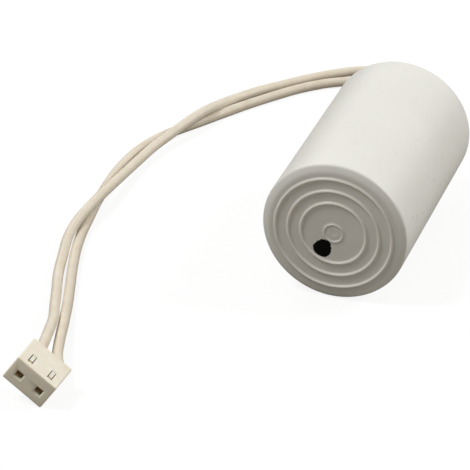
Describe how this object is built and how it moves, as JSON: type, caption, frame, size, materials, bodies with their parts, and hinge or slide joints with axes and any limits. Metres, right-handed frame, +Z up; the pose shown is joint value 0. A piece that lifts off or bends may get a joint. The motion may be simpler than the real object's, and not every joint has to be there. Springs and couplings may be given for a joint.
{
  "type": "motor run capacitor",
  "caption": "Cylindrical film motor run capacitor in a plain moulded can with a ringed base and a potted head, with flying leads ending in a crimp plug.",
  "frame": {"origin": "Under the middle of the can, on the surface it lies on, halfway along its length. The leads and the plug are free cord and don't count.", "axes": "+Y runs along the can from its ringed base to its potted head, where the leads come out. +Z is up with the can lying on its side. The leads lie on the -X side and the plug ends up towards -Y."},
  "size_m": [0.0801, 0.1647, 0.032],
  "materials": {
    "can_plastic": "satin, warm off-white",
    "ink": "flat black marker ink",
    "resin": "cast, slightly glossy with a low meniscus",
    "film": "metallised film, seen on edge",
    "core": "plain",
    "wrap": "clear film, several turns",
    "sprayed_zinc": "rough sprayed metal",
    "solder": "dull, frozen",
    "tinned_copper": "tinned strands",
    "lead_insulation": "satin, cream",
    "plug_plastic": "satin, natural cream",
    "contact_metal": "stamped brass strip"
  },
  "bodies": {
    "root": {"can": "can_plastic", "ink_dot": "ink", "potting_resin": "resin", "film_winding": "film", "winding_core": "core", "outer_wrap": "wrap", "end_spray_base": "sprayed_zinc", "end_spray_head": "sprayed_zinc", "solder_joint_base": "solder", "solder_joint_head": "solder", "bare_end_base": "tinned_copper", "bare_end_head": "tinned_copper", "lead_a": "lead_insulation", "lead_b": "lead_insulation", "plug_housing": "plug_plastic", "contact_a": "contact_metal", "contact_b": "contact_metal", "crimped_end_a": "tinned_copper", "crimped_end_b": "tinned_copper"}
  },
  "joints": []
}
